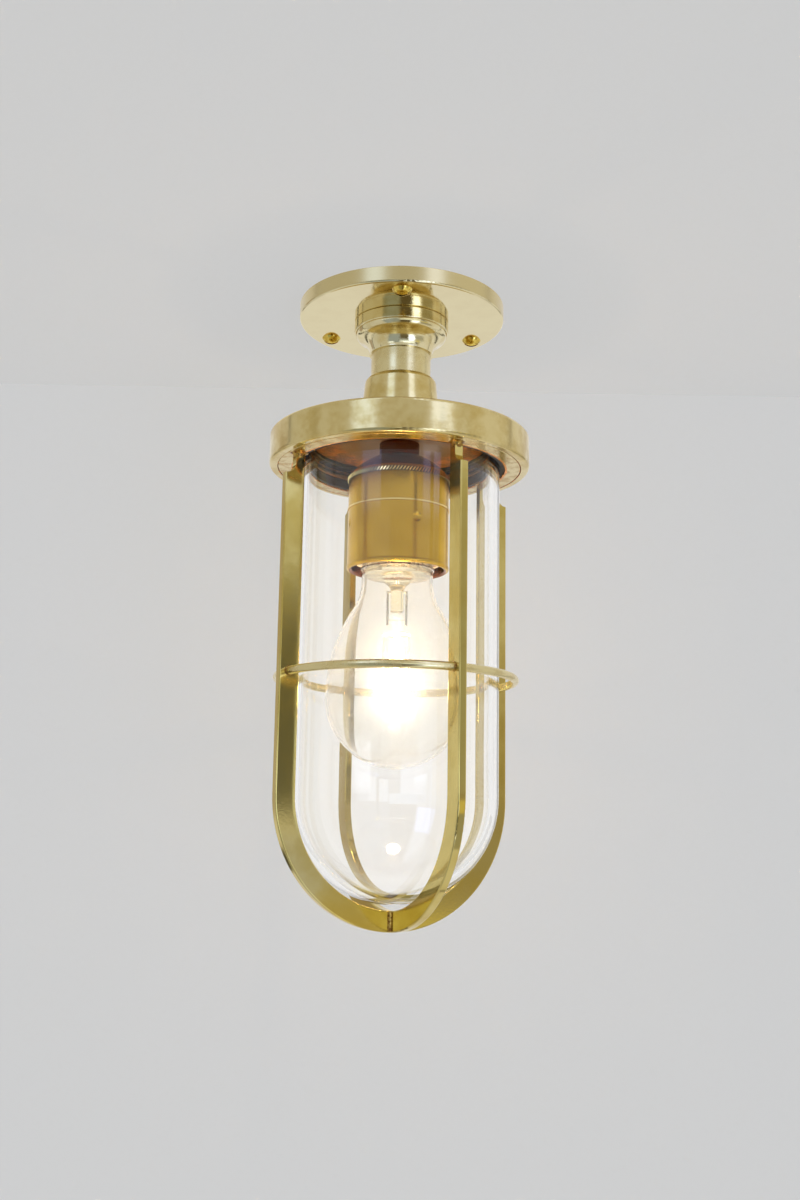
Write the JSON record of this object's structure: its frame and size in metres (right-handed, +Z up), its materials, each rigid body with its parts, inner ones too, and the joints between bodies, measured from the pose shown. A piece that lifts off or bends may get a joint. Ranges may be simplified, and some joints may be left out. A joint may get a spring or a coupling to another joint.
{
  "type": "well glass ceiling light",
  "caption": "Ceiling light with a clear well glass behind a brazed brass guard, a screwed gallery and a screw-cap lamp in a lampholder.",
  "frame": {"origin": "Centre of the ceiling plate's top face, which is the centre of the screw circle. That face lies against the ceiling.", "axes": "+Z points up into the ceiling along the light's axis, -Y is the front, where one fixing screw stands, and +X is the right as seen from the front."},
  "size_m": [0.1036, 0.1036, 0.2669],
  "materials": {
    "polished_brass": "polished, turned",
    "satin_brass": "satin, turned",
    "gallery_brass": "satin polished, tarnished inside",
    "guard_brass": "worn polish, brazed",
    "holder_brass": "satin",
    "screw_brass": "polished",
    "white_ceramic": "smooth",
    "plated_steel": "plated",
    "cap_metal": "rolled thread",
    "black_rubber": "matte",
    "black_insulator": "black glass",
    "clear_glass": "clear, thick",
    "lamp_glass": "clear, thin",
    "stem_glass": "clear, pale green",
    "capsule_glass": "clear quartz, lit",
    "lit_filament": "glowing"
  },
  "bodies": {
    "light": {"ceiling_plate": "polished_brass", "plate_screws": "screw_brass", "hub": "polished_brass", "neck_tube": "satin_brass", "gallery": "gallery_brass", "nipple": "satin_brass", "nipple_locknut": "satin_brass", "holder_cap": "holder_brass", "holder_shell": "holder_brass", "holder_core": "white_ceramic", "thread_liner": "holder_brass", "live_terminal": "satin_brass", "neutral_terminal": "satin_brass", "terminal_screws": "plated_steel", "earth_terminal": "satin_brass", "contact_pin": "plated_steel"},
    "contact": {"centre_contact": "screw_brass"},
    "gasket": {"crown_gasket": "black_rubber"},
    "glass": {"well_glass": "clear_glass", "seat_gasket": "black_rubber"},
    "guard": {"guard_ring": "guard_brass", "guard_arch": "guard_brass", "front_leg": "guard_brass", "back_leg": "guard_brass", "guard_hoop": "guard_brass"},
    "lamp_tip": {"bulb_contact": "plated_steel"},
    "lamp": {"bulb_glass": "lamp_glass", "bulb_cap": "cap_metal", "bulb_insulator": "black_insulator", "bulb_stem": "stem_glass", "left_support": "plated_steel", "right_support": "plated_steel", "halogen_capsule": "capsule_glass", "filament": "lit_filament"}
  },
  "joints": [
    {"name": "guard_lower", "type": "slide", "parent": "light", "child": "gasket", "axis": [0, 0, -1], "range_m": [0, 0.135]},
    {"name": "glass_lead", "type": "slide", "parent": "gasket", "child": "glass", "axis": [0, 0, -1], "range_m": [0, 0.008]},
    {"name": "guard_turn", "type": "hinge", "parent": "glass", "child": "guard", "pos_m": [0, 0, -0.0686], "axis": [0, 0, -1], "range_deg": [0, 1440]},
    {"name": "bulb_lead", "type": "slide", "parent": "light", "child": "lamp_tip", "axis": [0, 0, -1], "range_m": [0, 0.01814]},
    {"name": "bulb_turn", "type": "hinge", "parent": "lamp_tip", "child": "lamp", "pos_m": [0, 0, -0.0837], "axis": [0, 0, -1], "range_deg": [0, 1800]},
    {"name": "contact_press", "type": "hinge", "parent": "light", "child": "contact", "pos_m": [-0.0085, 0, -0.0816], "axis": [0, -1, 0], "range_deg": [0, 6], "stiffness_Nm_per_rad": 0.02}
  ],
  "couplings": [
    {"joint": "guard_turn", "follows": "glass_lead", "rad_per_m": 3141.6},
    {"joint": "bulb_turn", "follows": "bulb_lead", "rad_per_m": 1731.4}
  ]
}
